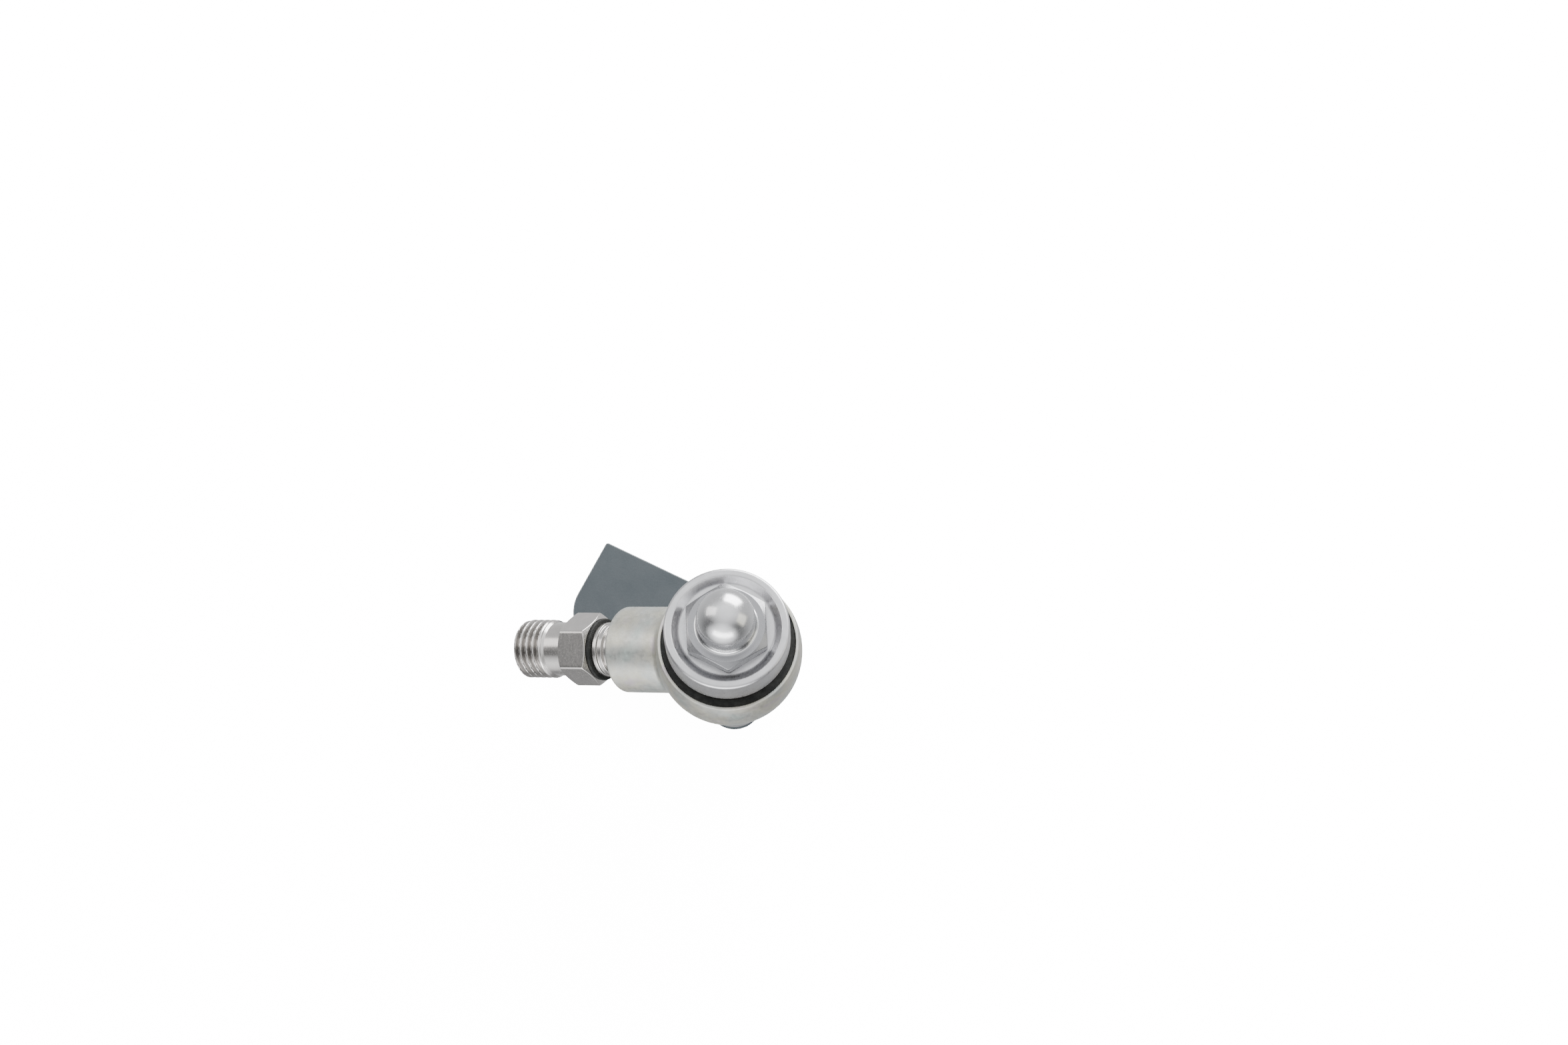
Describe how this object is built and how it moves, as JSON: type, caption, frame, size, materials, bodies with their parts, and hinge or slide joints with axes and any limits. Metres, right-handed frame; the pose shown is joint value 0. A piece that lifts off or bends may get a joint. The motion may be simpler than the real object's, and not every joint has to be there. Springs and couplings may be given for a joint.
{
  "type": "rod end bearing",
  "caption": "Sealed rod end bearing: round eye with a lined ball, angled shank with a screwed-in hex stud, cup washer and cap nut on the pin, and a bracket plate behind.",
  "frame": {"origin": "centre of the ball", "axes": "+Z along the pin towards the cap nut; the shank leaves the head towards -X and drops 28 degrees below the head plane"},
  "size_m": [0.0601, 0.0439, 0.0617],
  "materials": {
    "zinc_plated_steel": "dull zinc plating, slightly iridescent",
    "nickel_steel": "bright turned and nickel plated",
    "polished_steel": "polished",
    "satin_steel": "satin turned face",
    "bearing_steel": "ground and hardened",
    "spring_steel": "dark oiled spring steel",
    "insert_steel": "turned steel",
    "black_rubber": "matt black nitrile rubber",
    "liner_fabric": "low-friction liner, matt tan",
    "grey_paint": "matt dark blue-grey paint"
  },
  "bodies": {
    "housing": {"head_housing": "zinc_plated_steel", "race_upper": "bearing_steel", "race_lower": "bearing_steel", "retaining_ring": "spring_steel", "seal_upper": "black_rubber", "seal_lower": "black_rubber", "thread_insert": "insert_steel", "stud": "nickel_steel", "stud_collar": "nickel_steel", "stud_seal": "black_rubber"},
    "liner": {"race_liner": "liner_fabric"},
    "ball": {"ball": "polished_steel"},
    "pin_group": {"pivot_pin": "satin_steel", "bush_upper": "satin_steel", "cup_washer": "satin_steel", "dust_shield": "black_rubber", "cap_nut": "polished_steel", "bush_lower": "satin_steel", "spacer_tube": "satin_steel", "bracket_plate": "grey_paint"}
  },
  "joints": [
    {"name": "swing", "type": "hinge", "parent": "housing", "child": "liner", "pos_m": [0, 0, 0], "axis": [0, 1, 0], "range_deg": [-6, 6]},
    {"name": "rock", "type": "hinge", "parent": "liner", "child": "ball", "pos_m": [0, 0, 0], "axis": [1, 0, 0], "range_deg": [-6, 6]},
    {"name": "spin", "type": "hinge", "parent": "ball", "child": "pin_group", "pos_m": [0, 0, 0], "axis": [0, 0, 1], "continuous": true}
  ]
}
